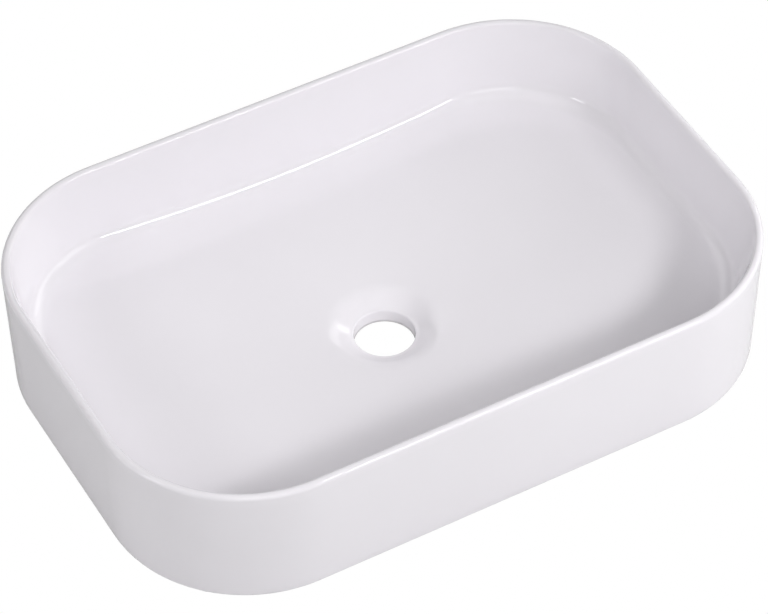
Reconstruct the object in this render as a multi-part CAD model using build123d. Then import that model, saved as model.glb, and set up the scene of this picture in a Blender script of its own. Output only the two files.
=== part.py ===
from build123d import *
import math
import os

# Countertop basin, millimetres, +Z up.
# The origin is the middle of the footprint, on the worktop that the basin stands on.
# X runs along the long side and -Y is the front.

# Outside of the ceramic body
body_length = 510.0        # along X, over the rim
body_width = 352.0         # along Y, over the rim
body_height = 103.5        # from the foot to the top of the rim
corner_radius = 108.0      # outside corner, at the rim
outer_draft = 2.4          # how far each side comes in from the rim to the foot
foot_edge_radius = 2.5     # rounding where the outside wall meets the foot

# Wall and rim
rim_width = 6.1            # wall thickness at the rim
rim_flat = 0.1             # flat left on top, between the two rim roundings

# Bowl
bowl_draft_angle = 7.3     # degrees that the inside of the wall leans from the upright
bowl_low_radius = 107.5    # corner radius of the bowl at the height of the dish
bowl_foot_radius = 8.0     # rounding between wall and floor
floor_angle = 6.8          # degrees that the floor falls towards the dish, from all round

# Dish and drain hole
dish_radius = 38.0         # where floor and dish would meet
dish_depth = 7.5           # from the edge of the dish to the top of the hole
dish_edge_radius = 28.0    # rounding over the edge of the dish
drain_radius = 22.5        # standard waste hole
drain_land = 11.5          # thickness of the ceramic round the hole
drain_edge_radius = 1.6    # rounding at the top of the hole
drain_edge_flat = 0.4      # level ring between that rounding and the dish

# Underside
foot_width = 16.0          # width of the foot that the basin stands on
floor_thickness = 10.0     # ceramic under the bowl floor
recess_draft_angle = 5.0   # degrees that the inside of the foot leans from the upright
recess_edge_radius = 1.5   # rounding inside the foot and round the boss
boss_radius = 40.0         # flat face under the drain, where the waste nut bears
boss_draft = 6.0           # how far the boss widens from that face to the ceiling
boss_lift = 0.5            # how far the boss stays above the foot

# Anti-slip pads under the foot
pad_radius = 6.0
pad_thickness = 1.5
pad_edge_radius = 0.5

# Heights above the worktop
foot_z = pad_thickness
rim_z = foot_z + body_height
boss_z = foot_z + boss_lift
drain_top_z = boss_z + drain_land
dish_edge_z = drain_top_z + dish_depth

# Slopes
bowl_lean = math.tan(math.radians(bowl_draft_angle))
recess_lean = math.tan(math.radians(recess_draft_angle))
floor_slope = math.tan(math.radians(floor_angle))

# Insets from the outline of the rim
bowl_low_inset = rim_width + bowl_lean * (rim_z - dish_edge_z)
recess_inset = outer_draft + foot_width
recess_high_inset = recess_inset + recess_lean * body_height

# A radius that reaches past every corner of the body
outside_reach = (body_length + body_width) / 2


def outline(inset, z, radius=None):
    """Rounded rectangle at height z, drawn in by inset from the outline of the rim."""
    length = body_length - 2 * inset
    width = body_width - 2 * inset
    return Plane.XY.offset(z) * RectangleRounded(length, width, radius or corner_radius - inset)


def turned(points):
    """Solid of revolution about Z, from a section given as (radius, height) points."""
    section = Plane.XZ * Polygon(*points, align=None)
    return revolve(section, Axis.Z)


def inset_of(point):
    """How far a point lies inside the outline of the rim, seen from above."""
    past_x = abs(point.X) - body_length / 2 + corner_radius
    past_y = abs(point.Y) - body_width / 2 + corner_radius
    corner = math.hypot(max(past_x, 0), max(past_y, 0))
    return corner_radius - corner - min(max(past_x, past_y), 0)


def level_edges(solid, z):
    """Edges of the solid that lie level at height z."""
    found = []
    for edge in solid.edges():
        box = edge.bounding_box()
        if abs(box.min.Z - z) < 0.01 and abs(box.max.Z - z) < 0.01:
            found.append(edge)
    return found


def edges_at_inset(solid, inset, z):
    """Level edges that follow the outline of the rim, drawn in by inset."""
    return [edge for edge in level_edges(solid, z) if abs(inset_of(edge.position_at(0.5)) - inset) < 0.1]


def edges_at_radius(solid, radius, z):
    """Level edges that lie at a radius from the Z axis."""
    found = []
    for edge in level_edges(solid, z):
        middle = edge.position_at(0.5)
        if abs(math.hypot(middle.X, middle.Y) - radius) < 0.2:
            found.append(edge)
    return found


def floor_wall_edges(bowl):
    """Edges where the walls of the bowl meet its floor, which rises towards the corners."""
    found = []
    for edge in bowl.edges():
        ends = [edge.position_at(0), edge.position_at(1)]
        nearest = min(math.hypot(end.X, end.Y) for end in ends)
        if nearest > dish_radius + 1 and edge.bounding_box().max.Z < rim_z - 1:
            found.append(edge)
    return found


def make_shell():
    """The outside of the body, solid through."""
    shell = loft([outline(outer_draft, foot_z), outline(0, rim_z)], ruled=True)
    return fillet(edges_at_inset(shell, outer_draft, foot_z), foot_edge_radius)


def floor_height(radius):
    """Height of the bowl's floor at a radius from the drain's axis, outside the dish."""
    return dish_edge_z + floor_slope * (radius - dish_radius)


def make_bowl():
    """The space inside the bowl: walls, falling floor and dish, down to the top of the drain hole."""
    dish_foot_radius = drain_radius + drain_edge_radius + drain_edge_flat
    walls = loft([outline(bowl_low_inset, dish_edge_z, bowl_low_radius), outline(rim_width, rim_z)],
                 ruled=True)
    above_floor = turned([(0, dish_edge_z), (dish_radius, dish_edge_z),
                          (outside_reach, floor_height(outside_reach)),
                          (outside_reach, 2 * rim_z), (0, 2 * rim_z)])
    dish = turned([(0, drain_top_z), (dish_foot_radius, drain_top_z), (dish_radius, dish_edge_z),
                   (0, dish_edge_z)])
    bowl = walls & above_floor
    bowl = fillet(floor_wall_edges(bowl), bowl_foot_radius)
    bowl = bowl + dish
    return fillet(edges_at_radius(bowl, dish_radius, dish_edge_z), dish_edge_radius)


def make_recess():
    """The space under the bowl, inside the foot, with the floor's belly and the boss left standing."""
    boss_top_radius = boss_radius + boss_draft
    space = loft([outline(recess_inset, foot_z), outline(recess_high_inset, rim_z)], ruled=True)
    belly = turned([(0, floor_height(0) - floor_thickness),
                    (outside_reach, floor_height(outside_reach) - floor_thickness),
                    (outside_reach, 2 * rim_z), (0, 2 * rim_z)])
    boss_top_z = floor_height(boss_top_radius) - floor_thickness
    boss = turned([(0, boss_z), (boss_radius, boss_z), (boss_top_radius, boss_top_z), (0, boss_top_z)])
    return space - belly - boss


def pad_places():
    """Name and middle of each anti-slip pad, in the corners of the foot."""
    reach = corner_radius - outer_draft - foot_width / 2
    x = body_length / 2 - corner_radius + reach * math.cos(math.radians(45))
    y = body_width / 2 - corner_radius + reach * math.sin(math.radians(45))
    return {"foot_pad_front_left": (-x, -y), "foot_pad_front_right": (x, -y),
            "foot_pad_back_left": (-x, y), "foot_pad_back_right": (x, y)}


def disc(place, radius, bottom_z, top_z):
    """Upright cylinder between two heights."""
    base = Plane.XY.offset(bottom_z) * Pos(*place) * Circle(radius)
    return extrude(base, top_z - bottom_z)


def make_basin_body():
    """The one ceramic casting."""
    body = make_shell() - make_bowl() - make_recess()
    body = body - disc((0, 0), drain_radius, 0, dish_edge_z)
    rim_radius = (rim_width - rim_flat) / 2
    rim_edges = edges_at_inset(body, 0, rim_z) + edges_at_inset(body, rim_width, rim_z)
    body = fillet(rim_edges, rim_radius)
    body = fillet(edges_at_radius(body, drain_radius, drain_top_z), drain_edge_radius)
    foot_edges = edges_at_inset(body, recess_inset, foot_z) + edges_at_radius(body, boss_radius, boss_z)
    return fillet(foot_edges, recess_edge_radius)


def make_foot_pad(place):
    """Thin disc between the worktop and the foot."""
    pad = disc(place, pad_radius, 0, foot_z)
    return fillet(level_edges(pad, 0), pad_edge_radius)


parts = {"basin_body": make_basin_body()}
for pad_name, pad_place in pad_places().items():
    parts[pad_name] = make_foot_pad(pad_place)

os.makedirs("parts", exist_ok=True)
for name, part in parts.items():
    export_step(part, f"parts/{name}.step")
    print(name, len(part.solids()), round(part.volume), part.is_valid)
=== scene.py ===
import math
import bpy
import numpy as np
from mathutils import Matrix, Vector


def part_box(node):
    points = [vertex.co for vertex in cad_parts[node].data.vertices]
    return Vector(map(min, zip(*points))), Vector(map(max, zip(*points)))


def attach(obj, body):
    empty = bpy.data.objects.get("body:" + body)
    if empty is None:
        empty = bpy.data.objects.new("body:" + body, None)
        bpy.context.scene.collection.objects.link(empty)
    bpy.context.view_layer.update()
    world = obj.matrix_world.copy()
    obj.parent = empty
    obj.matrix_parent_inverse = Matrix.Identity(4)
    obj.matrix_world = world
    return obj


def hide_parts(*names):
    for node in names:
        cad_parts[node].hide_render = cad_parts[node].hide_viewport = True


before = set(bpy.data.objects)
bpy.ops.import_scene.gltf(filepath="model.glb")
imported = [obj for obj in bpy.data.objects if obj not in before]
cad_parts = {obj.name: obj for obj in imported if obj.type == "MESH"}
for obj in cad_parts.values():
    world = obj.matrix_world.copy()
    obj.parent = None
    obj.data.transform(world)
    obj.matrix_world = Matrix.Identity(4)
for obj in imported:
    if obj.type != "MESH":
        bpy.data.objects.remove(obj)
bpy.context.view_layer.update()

# Countertop basin, metres, +Z up, -Y is the front.

# Outside of the ceramic body, with its foot and rim at the frame's heights
BODY_LOW, BODY_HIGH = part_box("basin_body")
BODY_LENGTH = 0.510
BODY_WIDTH = 0.352
FOOT_Z = BODY_LOW.z
RIM_Z = BODY_HIGH.z
CORNER_RADIUS = 0.108
OUTER_DRAFT = 0.0024
FOOT_EDGE_RADIUS = 0.0025

# Wall and rim
RIM_WIDTH = 0.0061
RIM_FLAT = 0.0001
BOWL_DRAFT_ANGLE = 7.3
BOWL_LOW_CORNER_RADIUS = 0.1075

# Bowl floor, dish and drain hole
FLOOR_ANGLE = 6.8
BOWL_FOOT_RADIUS = 0.008
DISH_RADIUS = 0.038
DISH_DEPTH = 0.0075
DISH_EDGE_BLEND = 0.0024       # height over which the edge between floor and dish is rounded
DRAIN_RADIUS = 0.0225
DRAIN_LAND = 0.0115
DRAIN_EDGE_RADIUS = 0.0016
DRAIN_EDGE_FLAT = 0.0004
DRAIN_EDGE_BLEND = 0.0006      # height over which the dish levels out towards the hole

# Underside
FOOT_WIDTH = 0.016
FLOOR_THICKNESS = 0.010
RECESS_DRAFT_ANGLE = 5.0
RECESS_WALL_HEIGHT = 0.026     # about where the inside of the foot meets the ceiling
RECESS_EDGE_RADIUS = 0.0015
BOSS_RADIUS = 0.040
BOSS_DRAFT = 0.006
BOSS_LIFT = 0.0005

# Heights above the worktop
BOSS_Z = FOOT_Z + BOSS_LIFT
DRAIN_TOP_Z = BOSS_Z + DRAIN_LAND
DISH_EDGE_Z = DRAIN_TOP_Z + DISH_DEPTH

# Slopes of the bowl's wall, of its floor and of the inside of the foot
LEAN = math.tan(math.radians(BOWL_DRAFT_ANGLE))
FALL = math.tan(math.radians(FLOOR_ANGLE))
RECESS_LEAN = math.tan(math.radians(RECESS_DRAFT_ANGLE))

# Shortest distance to the wall per metre measured level, and to the floor per metre measured upright
ACROSS_WALL = math.cos(math.radians(BOWL_DRAFT_ANGLE))
ACROSS_FLOOR = math.cos(math.radians(FLOOR_ANGLE))

# Insets from the outline of the rim
RIM_RADIUS = (RIM_WIDTH - RIM_FLAT) / 2
RIM_INNER_CENTRE = RIM_WIDTH + LEAN * RIM_RADIUS - RIM_RADIUS / ACROSS_WALL
RIM_INSIDE_INSET = RIM_INNER_CENTRE + RIM_RADIUS * ACROSS_WALL
BOWL_LOW_INSET = RIM_WIDTH + LEAN * (RIM_Z - DISH_EDGE_Z)
PLAIN_WALL_DEPTH = 0.034       # below the rim, down to where the rows of the rounding begin
PLAIN_WALL_INSET = RIM_WIDTH + LEAN * PLAIN_WALL_DEPTH
FLOOR_START_RADII = 1.6        # radii of the rounding, from the wall's foot to where they end
FLOOR_START_INSET = BOWL_LOW_INSET + FLOOR_START_RADII * BOWL_FOOT_RADIUS
RECESS_INSET = OUTER_DRAFT + FOOT_WIDTH
CEILING_INSET = RECESS_INSET + RECESS_LEAN * RECESS_WALL_HEIGHT

# Radii round the drain
DISH_FOOT_RADIUS = DRAIN_RADIUS + DRAIN_EDGE_RADIUS + DRAIN_EDGE_FLAT
DISH_SLOPE = DISH_DEPTH / (DISH_RADIUS - DISH_FOOT_RADIUS)
DISH_MARGIN = 0.006            # of floor round the dish that takes the dish's round rows
DISH_REACH = DISH_RADIUS + DISH_MARGIN
BOSS_TOP_RADIUS = BOSS_RADIUS + BOSS_DRAFT

# Mesh: columns round the body, and rows, or steps between rows, along each stretch of its section
COLUMNS = 360
FOOT_EDGE_ROWS = 7
OUTER_WALL_STEPS = 16
RIM_EDGE_ROWS = 9
BOWL_WALL_ROWS = 8
BOWL_FOOT_ROWS = 39
FLOOR_ROWS = 28
FLOOR_SHARES = (0.97, 0.04)    # first and last row of the floor, from 1 at the wall to 0 at the dish
DISH_ROWS = 30
DRAIN_EDGE_ROWS = 9
LAND_STEPS = 4
RECESS_EDGE_ROWS = 6
CEILING_ROWS = 16
CEILING_SHARES = (0.04, 1)     # first and last row, from 0 at the boss to 1 at the foot
RECESS_WALL_SHARES = (0.75, 0.5, 0.25)    # from 1 at the ceiling to 0 at the foot

# Steps of the search for a height of the bowl, samples of the rim's outline, and the least divisor
HALVINGS = 40
OUTLINE_SAMPLES = 20001
LEAST_DIVISOR = 1e-9


def mix(a, b, t):
    """Value that goes from a to b as t goes from 0 to 1."""
    return a + (b - a) * t


def inset_ring(inset):
    """Half length, half width and corner radius of the rim's outline, drawn in by inset."""
    return (BODY_LENGTH / 2 - inset, BODY_WIDTH / 2 - inset, CORNER_RADIUS - inset)


def bowl_ring(inset):
    """A ring of the bowl, whose corners open out a little downwards."""
    share = (inset - RIM_WIDTH) / (BOWL_LOW_INSET - RIM_WIDTH)
    radius = mix(CORNER_RADIUS - RIM_WIDTH, BOWL_LOW_CORNER_RADIUS, share)
    return (BODY_LENGTH / 2 - inset, BODY_WIDTH / 2 - inset, radius)


def round_ring(radius):
    """A circle, written like the other rings."""
    return (radius, radius, radius)


def ring_points(ring, angles):
    """Where rays from the middle at these angles cross a rounded rectangle."""
    half_x, half_y, radius = ring
    cos, sin = np.abs(np.cos(angles)), np.abs(np.sin(angles))
    centre_x, centre_y = half_x - radius, half_y - radius
    to_side = half_x / np.maximum(cos, LEAST_DIVISOR)
    to_end = half_y / np.maximum(sin, LEAST_DIVISOR)
    along = centre_x * cos + centre_y * sin
    under_root = along ** 2 - centre_x ** 2 - centre_y ** 2 + radius ** 2
    to_corner = along + np.sqrt(np.maximum(under_root, 0))
    on_end = np.where(to_end * cos <= centre_x, to_end, to_corner)
    reach = np.where(to_side * sin <= centre_y, to_side, on_end)
    return reach * np.cos(angles), reach * np.sin(angles)


def column_angles():
    """Polar angle of each column of the mesh, spaced evenly along the outline of the rim."""
    fine = np.linspace(0, 2 * math.pi, OUTLINE_SAMPLES)
    x, y = ring_points(inset_ring(0), fine)
    length = np.concatenate([[0], np.cumsum(np.hypot(np.diff(x), np.diff(y)))])
    return np.interp(np.arange(COLUMNS) / COLUMNS * length[-1], length, fine)


def smooth_low(a, b, width):
    """The lower of two heights, with the edge between them rounded over."""
    near = np.maximum(width - np.abs(a - b), 0) / width
    return np.minimum(a, b) - near * near * width / 4


def smooth_high(a, b, width):
    """The higher of two heights, with the edge between them filled in."""
    return -smooth_low(-a, -b, width)


def cone_height(x, y, drop):
    """Height of the cone that lies drop below the bowl's floor."""
    return DISH_EDGE_Z - drop + (np.hypot(x, y) - DISH_RADIUS) * FALL


def ceiling_height(x, y):
    """Height of the ceiling of the recess, which follows the floor above it."""
    return cone_height(x, y, FLOOR_THICKNESS)


def floor_height(x, y):
    """Height of the bowl's floor and dish."""
    dish = DISH_EDGE_Z + (np.hypot(x, y) - DISH_RADIUS) * DISH_SLOPE
    height = smooth_low(cone_height(x, y, 0), dish, DISH_EDGE_BLEND)
    return smooth_high(height, np.full_like(height, DRAIN_TOP_Z), DRAIN_EDGE_BLEND)


def bowl_height(inset, x, y):
    """Height of the bowl's wall, floor and the rounding between them, at an inset from the rim."""
    floor = floor_height(x, y)
    low, high = floor.copy(), np.full_like(floor, RIM_Z)
    for _ in range(HALVINGS):
        middle = (low + high) / 2
        from_wall = (inset - RIM_WIDTH - LEAN * (RIM_Z - middle)) * ACROSS_WALL
        from_floor = (middle - floor) * ACROSS_FLOOR
        short_of_wall = np.maximum(BOWL_FOOT_RADIUS - from_wall, 0)
        short_of_floor = np.maximum(BOWL_FOOT_RADIUS - from_floor, 0)
        inside = np.hypot(short_of_wall, short_of_floor) < BOWL_FOOT_RADIUS
        high = np.where(inside, middle, high)
        low = np.where(inside, low, middle)
    return (low + high) / 2


def arc(centre, radius, start, end, count):
    """Points (across, up) on an arc, from start to end in degrees."""
    for angle in np.radians(np.linspace(start, end, count)):
        yield centre[0] + radius * math.cos(angle), centre[1] + radius * math.sin(angle)


def straight(start, end, count):
    """Points between two points, without either, that divide the line into count steps."""
    for step in range(1, count):
        t = step / count
        yield mix(start[0], end[0], t), mix(start[1], end[1], t)


def outside_rows():
    """Rounded edge of the foot, the outside wall, and the rim over the top to the bowl's wall."""
    edge = FOOT_EDGE_RADIUS
    wall_top = RIM_Z - RIM_RADIUS
    points = list(arc((OUTER_DRAFT + edge, FOOT_Z + edge), edge, 270, 180, FOOT_EDGE_ROWS))
    points += straight((OUTER_DRAFT, FOOT_Z + edge), (0.0, wall_top), OUTER_WALL_STEPS)
    points += arc((RIM_RADIUS, wall_top), RIM_RADIUS, 180, 90, RIM_EDGE_ROWS)
    points += arc((RIM_INNER_CENTRE, wall_top), RIM_RADIUS, 90, BOWL_DRAFT_ANGLE, RIM_EDGE_ROWS)
    return [(inset_ring(inset), z) for inset, z in points]


def bowl_rows():
    """Inside of the wall, the rounding at its foot, the floor and the dish."""
    rows = []
    wall = np.linspace(RIM_INSIDE_INSET, PLAIN_WALL_INSET, BOWL_WALL_ROWS + 1)[1:]
    foot = np.linspace(PLAIN_WALL_INSET, FLOOR_START_INSET, BOWL_FOOT_ROWS + 1)[1:]
    for inset in np.concatenate([wall, foot]):
        rows.append((bowl_ring(inset), lambda x, y, inset=inset: bowl_height(inset, x, y)))
    wall_ring, dish_ring = bowl_ring(FLOOR_START_INSET), round_ring(DISH_REACH)
    for share in np.linspace(*FLOOR_SHARES, FLOOR_ROWS):
        ring = tuple(mix(inner, outer, share) for inner, outer in zip(dish_ring, wall_ring))
        rows.append((ring, floor_height))
    for radius in np.linspace(DISH_REACH, DISH_FOOT_RADIUS - DRAIN_EDGE_FLAT / 2, DISH_ROWS):
        rows.append((round_ring(radius), floor_height))
    return rows


def drain_rows():
    """Rounded edge of the hole, the hole, and the flat and rounded edge of the boss under it."""
    edge, low_edge = DRAIN_EDGE_RADIUS, RECESS_EDGE_RADIUS
    land_top = (DRAIN_RADIUS, DRAIN_TOP_Z - edge)
    points = list(arc((DRAIN_RADIUS + edge, DRAIN_TOP_Z - edge), edge, 90, 180, DRAIN_EDGE_ROWS))
    points += straight(land_top, (DRAIN_RADIUS, BOSS_Z), LAND_STEPS)
    points += [(DRAIN_RADIUS, BOSS_Z), ((DRAIN_RADIUS + BOSS_RADIUS) / 2, BOSS_Z)]
    points += arc((BOSS_RADIUS - low_edge, BOSS_Z + low_edge), low_edge, 270, 360, RECESS_EDGE_ROWS)
    return [(round_ring(radius), z) for radius, z in points]


def recess_rows():
    """Ceiling of the recess, from the boss outwards, and the inside of the foot."""
    edge = RECESS_EDGE_RADIUS
    boss_ring, ceiling_ring = round_ring(BOSS_TOP_RADIUS), inset_ring(CEILING_INSET)
    rows = [(boss_ring, ceiling_height)]
    for share in np.linspace(*CEILING_SHARES, CEILING_ROWS):
        ring = tuple(mix(inner, outer, share) for inner, outer in zip(boss_ring, ceiling_ring))
        rows.append((ring, ceiling_height))
    for share in RECESS_WALL_SHARES:
        ring = inset_ring(mix(RECESS_INSET, CEILING_INSET, share))
        rows.append((ring, lambda x, y, share=share: mix(FOOT_Z + edge, ceiling_height(x, y), share)))
    for inset, z in arc((RECESS_INSET - edge, FOOT_Z + edge), edge, 0, -90, RECESS_EDGE_ROWS):
        rows.append((inset_ring(inset), z))
    return rows


def make_basin():
    """The glazed body, one closed mesh with a row for each ring and its height, or heights over x and y."""
    angles = column_angles()
    rows = outside_rows() + bowl_rows() + drain_rows() + recess_rows()
    points = []
    for ring, height in rows:
        x, y = ring_points(ring, angles)
        z = height(x, y) if callable(height) else np.full_like(x, height)
        points.append(np.stack([x, y, z], axis=1))
    faces = []
    for row in range(len(rows)):
        below, above = row * COLUMNS, (row + 1) % len(rows) * COLUMNS
        for column in range(COLUMNS):
            beside = (column + 1) % COLUMNS
            faces.append((below + column, below + beside, above + beside, above + column))
    mesh = bpy.data.meshes.new("basin_glazed_body")
    mesh.from_pydata(np.concatenate(points).tolist(), [], faces)
    mesh.validate()
    mesh.polygons.foreach_set("use_smooth", [True] * len(mesh.polygons))
    mesh.update()
    basin = bpy.data.objects.new("basin_glazed_body", mesh)
    bpy.context.scene.collection.objects.link(basin)
    return basin


# Glaze where it is thinnest and thickest, bare clay under the foot, and the pads
GLAZE_THIN = (0.865, 0.842, 0.879)
GLAZE_THICK = (0.879, 0.856, 0.894)
GLAZE_IOR = 1.42
GLAZE_ROUGHNESS = (0.045, 0.075)
BARE_CLAY = (0.640, 0.590, 0.520)
CLAY_SPECK = (0.560, 0.505, 0.430)
CLAY_ROUGHNESS = 0.55
RUBBER_DARK = (0.50, 0.51, 0.52)
RUBBER_PALE = (0.60, 0.61, 0.62)
RUBBER_ROUGHNESS = (0.55, 0.75)

# Where the glaze was wiped off above the foot, and how unevenly
GLAZE_LINE = 0.0007
GLAZE_LINE_FADE = 0.0003
GLAZE_LINE_WANDER = 0.0006

# Parts of a noise's range, from 0 to 1, that are spread over the whole effect
NOISE_RANGE = (0.3, 0.7)
POOLING_RANGE = (0.35, 0.65)
CLAY_RANGE = (0.40, 0.60)

# Noises: ripples to the metre, and detail
POOLING_NOISE = (7, 3)
POLISH_NOISE = (18, 2)
WAVE_NOISE = (9, 1)
PEEL_NOISE = (650, 1)
WANDER_NOISE = (60, 4)
CLAY_NOISE = (1400, 3)
RUBBER_CLOUD_NOISE = (300, 3)
RUBBER_GRAIN_NOISE = (4000, 2)

# Depths of relief
WAVE_DEPTH = 0.00012
PEEL_DEPTH = 0.0000012
CLAY_DEPTH = 0.00008
RUBBER_DEPTH = 0.00002


def new_material(name):
    """Material with a Principled shader, as (material, node tree, shader)."""
    material = bpy.data.materials.new(name)
    material.use_nodes = True
    return material, material.node_tree, material.node_tree.nodes["Principled BSDF"]


def place_in(tree):
    """Output that gives a point's place on the piece, in metres."""
    return tree.nodes.new("ShaderNodeTexCoord").outputs["Object"]


def noise(tree, scale, detail):
    """Noise that keeps its place on the piece, from 0 to 1."""
    node = tree.nodes.new("ShaderNodeTexNoise")
    node.inputs["Scale"].default_value = scale
    node.inputs["Detail"].default_value = detail
    tree.links.new(place_in(tree), node.inputs["Vector"])
    return node.outputs["Fac"]


def spread(tree, value, start, end, low, high):
    """Number that goes from low to high as value goes from start to end."""
    node = tree.nodes.new("ShaderNodeMapRange")
    tree.links.new(value, node.inputs["Value"])
    node.inputs["From Min"].default_value = start
    node.inputs["From Max"].default_value = end
    node.inputs["To Min"].default_value = low
    node.inputs["To Max"].default_value = high
    return node.outputs["Result"]


def blend_colours(tree, share, low, high):
    """Colour between low and high, each a colour or another node's output."""
    node = tree.nodes.new("ShaderNodeMix")
    node.data_type = "RGBA"
    tree.links.new(share, node.inputs["Factor"])
    for socket, colour in ((node.inputs["A"], low), (node.inputs["B"], high)):
        if isinstance(colour, tuple):
            socket.default_value = (*colour, 1)
        else:
            tree.links.new(colour, socket)
    return node.outputs["Result"]


def arithmetic(tree, operation, a, b):
    """Result of a Math node on two nodes' outputs."""
    node = tree.nodes.new("ShaderNodeMath")
    node.operation = operation
    tree.links.new(a, node.inputs[0])
    tree.links.new(b, node.inputs[1])
    return node.outputs[0]


def bump(tree, height, distance, under=None):
    """Surface raised by up to distance where height is 1, on top of another bump."""
    node = tree.nodes.new("ShaderNodeBump")
    node.inputs["Distance"].default_value = distance
    tree.links.new(height, node.inputs["Height"])
    if under is not None:
        tree.links.new(under, node.inputs["Normal"])
    return node.outputs["Normal"]


def glazed_share(tree):
    """1 where the glaze covers the clay, 0 on the foot and the boss, with an uneven line between."""
    axes = tree.nodes.new("ShaderNodeSeparateXYZ")
    tree.links.new(place_in(tree), axes.inputs[0])
    half = GLAZE_LINE_WANDER / 2
    wander = spread(tree, noise(tree, *WANDER_NOISE), *NOISE_RANGE, -half, half)
    height = arithmetic(tree, "ADD", axes.outputs["Z"], wander)
    line = FOOT_Z + GLAZE_LINE
    return spread(tree, height, line - GLAZE_LINE_FADE, line + GLAZE_LINE_FADE, 0, 1)


def glaze_material():
    """Glossy sanitary glaze, wiped off the foot and the boss to the bare clay."""
    material, tree, shader = new_material("white_glaze")
    glazed = glazed_share(tree)
    pooling = spread(tree, noise(tree, *POOLING_NOISE), *POOLING_RANGE, 0, 1)
    glaze = blend_colours(tree, pooling, GLAZE_THIN, GLAZE_THICK)
    grain = noise(tree, *CLAY_NOISE)
    clay = blend_colours(tree, spread(tree, grain, *CLAY_RANGE, 0, 1), CLAY_SPECK, BARE_CLAY)
    tree.links.new(blend_colours(tree, glazed, clay, glaze), shader.inputs["Base Color"])

    polish = spread(tree, noise(tree, *POLISH_NOISE), *NOISE_RANGE, *GLAZE_ROUGHNESS)
    bare = spread(tree, glazed, 0, 1, CLAY_ROUGHNESS, 0)
    tree.links.new(arithmetic(tree, "MAXIMUM", bare, polish), shader.inputs["Roughness"])
    shader.inputs["IOR"].default_value = GLAZE_IOR

    waves = bump(tree, noise(tree, *WAVE_NOISE), WAVE_DEPTH)
    peel = bump(tree, noise(tree, *PEEL_NOISE), PEEL_DEPTH, waves)
    clay_relief = arithmetic(tree, "MULTIPLY", grain, spread(tree, glazed, 0, 1, 1, 0))
    tree.links.new(bump(tree, clay_relief, CLAY_DEPTH, peel), shader.inputs["Normal"])
    return material


def rubber_material():
    """Soft grey rubber with a fine matt grain."""
    material, tree, shader = new_material("pad_rubber_grain")
    cloud = noise(tree, *RUBBER_CLOUD_NOISE)
    tree.links.new(blend_colours(tree, cloud, RUBBER_DARK, RUBBER_PALE), shader.inputs["Base Color"])
    grain = noise(tree, *RUBBER_GRAIN_NOISE)
    tree.links.new(spread(tree, grain, *NOISE_RANGE, *RUBBER_ROUGHNESS), shader.inputs["Roughness"])
    tree.links.new(bump(tree, grain, RUBBER_DEPTH), shader.inputs["Normal"])
    return material


basin = make_basin()
basin.data.materials.append(glaze_material())
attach(basin, "root")
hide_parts("basin_body")

rubber = rubber_material()
for name in ("foot_pad_front_left", "foot_pad_front_right", "foot_pad_back_left", "foot_pad_back_right"):
    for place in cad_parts[name].material_slots:
        place.material = rubber


# Camera: image width and focal length in pixels, sensor in millimetres
IMAGE_WIDTH = 768
FOCAL_PIXELS = 3704.5
SENSOR_WIDTH = 36.0

# Where the camera stands: angles in degrees, lengths in metres
CAMERA_AZIMUTH = -28.715
CAMERA_ELEVATION = 45.919
CAMERA_ROLL = -0.788
CAMERA_DISTANCE = 2.6557
CAMERA_DROP = 0.0090
CAMERA_CLIP = (0.1, 50)

# Softboxes round the basin: azimuth and elevation in degrees, width and height in metres, power in watts
LIGHT_DISTANCE = 1.8
LIGHT_AIM = Vector((0, 0, 0.05))
SOFTBOXES = {
    "key_front_right": (25, 36, 0.62, 0.22, 12.6),
    "front_left": (-20, 40, 0.90, 0.70, 7.1),
    "front_left_high": (-35, 50, 0.60, 0.60, 1.1),
    "right": (65, 30, 0.90, 0.90, 6.2),
    "right_low": (95, 20, 1.00, 0.60, 4.9),
    "right_rear": (120, 28, 0.80, 0.60, 2.8),
    "rear": (180, 40, 0.80, 0.60, 1.9),
    "rear_left": (230, 32, 0.80, 0.60, 1.5),
    "left_low": (262, 12, 0.80, 0.50, 4.2),
    "left": (272, 32, 0.32, 0.32, 3.7),
    "overhead": (280, 76, 1.30, 1.30, 5.1),
    "overhead_rear": (150, 70, 1.30, 1.30, 1.4),
}

# Stage: the floor reaches this far from the basin, glows white to the eye and is pale grey to the light
FLOOR_REACH = 6.0
FLOOR_GLOW = 1.0
FLOOR_COLOUR = (0.75, 0.75, 0.75, 1)
WHITE = (1, 1, 1, 1)
ROOM_STRENGTH = 0.01


def direction(azimuth, elevation):
    """Direction out from the basin; azimuth 0 is the front and 90 the right."""
    az, el = math.radians(azimuth), math.radians(elevation)
    return Vector((math.sin(az) * math.cos(el), -math.cos(az) * math.cos(el), math.sin(el)))


def make_camera():
    """Camera that looks at the middle of the ceramic, rolled and dropped a little."""
    az, roll = math.radians(CAMERA_AZIMUTH), math.radians(CAMERA_ROLL)
    back = direction(CAMERA_AZIMUTH, CAMERA_ELEVATION)
    level_right = Vector((math.cos(az), math.sin(az), 0))
    level_up = back.cross(level_right)
    right = level_right * math.cos(roll) + level_up * math.sin(roll)
    up = level_up * math.cos(roll) - level_right * math.sin(roll)
    aim = Vector((0, 0, (FOOT_Z + RIM_Z) / 2))
    place = aim + back * CAMERA_DISTANCE - up * CAMERA_DROP
    data = bpy.data.cameras.new("camera")
    data.sensor_width = SENSOR_WIDTH
    data.lens = FOCAL_PIXELS * SENSOR_WIDTH / IMAGE_WIDTH
    data.clip_start, data.clip_end = CAMERA_CLIP
    camera = bpy.data.objects.new("camera", data)
    camera.matrix_world = Matrix.Translation(place) @ Matrix((right, up, back)).transposed().to_4x4()
    bpy.context.scene.collection.objects.link(camera)
    bpy.context.scene.camera = camera


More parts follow.
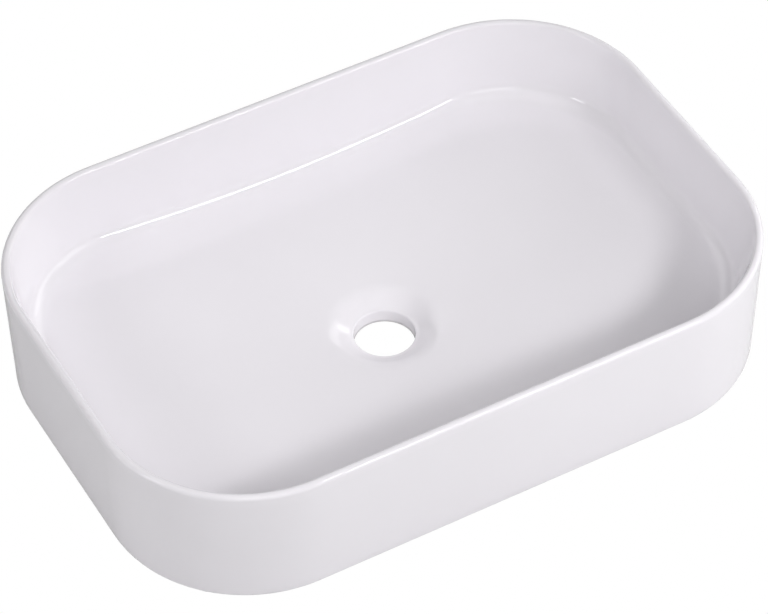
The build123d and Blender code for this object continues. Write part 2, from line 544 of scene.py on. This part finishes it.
def softbox(name, azimuth, elevation, width, height, power):
    """Rectangular area light that faces the basin."""
    back = direction(azimuth, elevation)
    data = bpy.data.lights.new(name, "AREA")
    data.shape = "RECTANGLE"
    data.size, data.size_y = width, height
    data.energy = power
    light = bpy.data.objects.new(name, data)
    light.location = LIGHT_AIM + back * LIGHT_DISTANCE
    light.rotation_mode = "QUATERNION"
    light.rotation_quaternion = (-back).to_track_quat("-Z", "Y")
    bpy.context.scene.collection.objects.link(light)


def stage_floor():
    """Plain floor that shows white and throws back soft light."""
    reach = FLOOR_REACH
    corners = [(-reach, -reach, 0), (reach, -reach, 0), (reach, reach, 0), (-reach, reach, 0)]
    mesh = bpy.data.meshes.new("floor")
    mesh.from_pydata(corners, [], [(0, 1, 2, 3)])
    floor = bpy.data.objects.new("floor", mesh)
    bpy.context.scene.collection.objects.link(floor)
    material = bpy.data.materials.new("floor")
    material.use_nodes = True
    tree = material.node_tree
    tree.nodes.clear()
    surface = tree.nodes.new("ShaderNodeOutputMaterial")
    mixer = tree.nodes.new("ShaderNodeMixShader")
    path = tree.nodes.new("ShaderNodeLightPath")
    diffuse = tree.nodes.new("ShaderNodeBsdfDiffuse")
    diffuse.inputs["Color"].default_value = FLOOR_COLOUR
    glow = tree.nodes.new("ShaderNodeEmission")
    glow.inputs["Strength"].default_value = FLOOR_GLOW
    tree.links.new(path.outputs["Is Camera Ray"], mixer.inputs[0])
    tree.links.new(diffuse.outputs[0], mixer.inputs[1])
    tree.links.new(glow.outputs[0], mixer.inputs[2])
    tree.links.new(mixer.outputs[0], surface.inputs["Surface"])
    mesh.materials.append(material)


def studio_world():
    """White behind the floor's edge, and next to no light of its own."""
    world = bpy.data.worlds.new("world")
    bpy.context.scene.world = world
    world.use_nodes = True
    tree = world.node_tree
    backdrop = tree.nodes["Background"]
    backdrop.inputs["Color"].default_value = WHITE
    room = tree.nodes.new("ShaderNodeBackground")
    room.inputs["Color"].default_value = WHITE
    room.inputs["Strength"].default_value = ROOM_STRENGTH
    mixer = tree.nodes.new("ShaderNodeMixShader")
    path = tree.nodes.new("ShaderNodeLightPath")
    tree.links.new(path.outputs["Is Camera Ray"], mixer.inputs[0])
    tree.links.new(room.outputs[0], mixer.inputs[1])
    tree.links.new(backdrop.outputs[0], mixer.inputs[2])
    tree.links.new(mixer.outputs[0], tree.nodes["World Output"].inputs["Surface"])


make_camera()
for name, values in SOFTBOXES.items():
    softbox(name, *values)
stage_floor()
studio_world()
bpy.context.scene.view_settings.view_transform = "Standard"
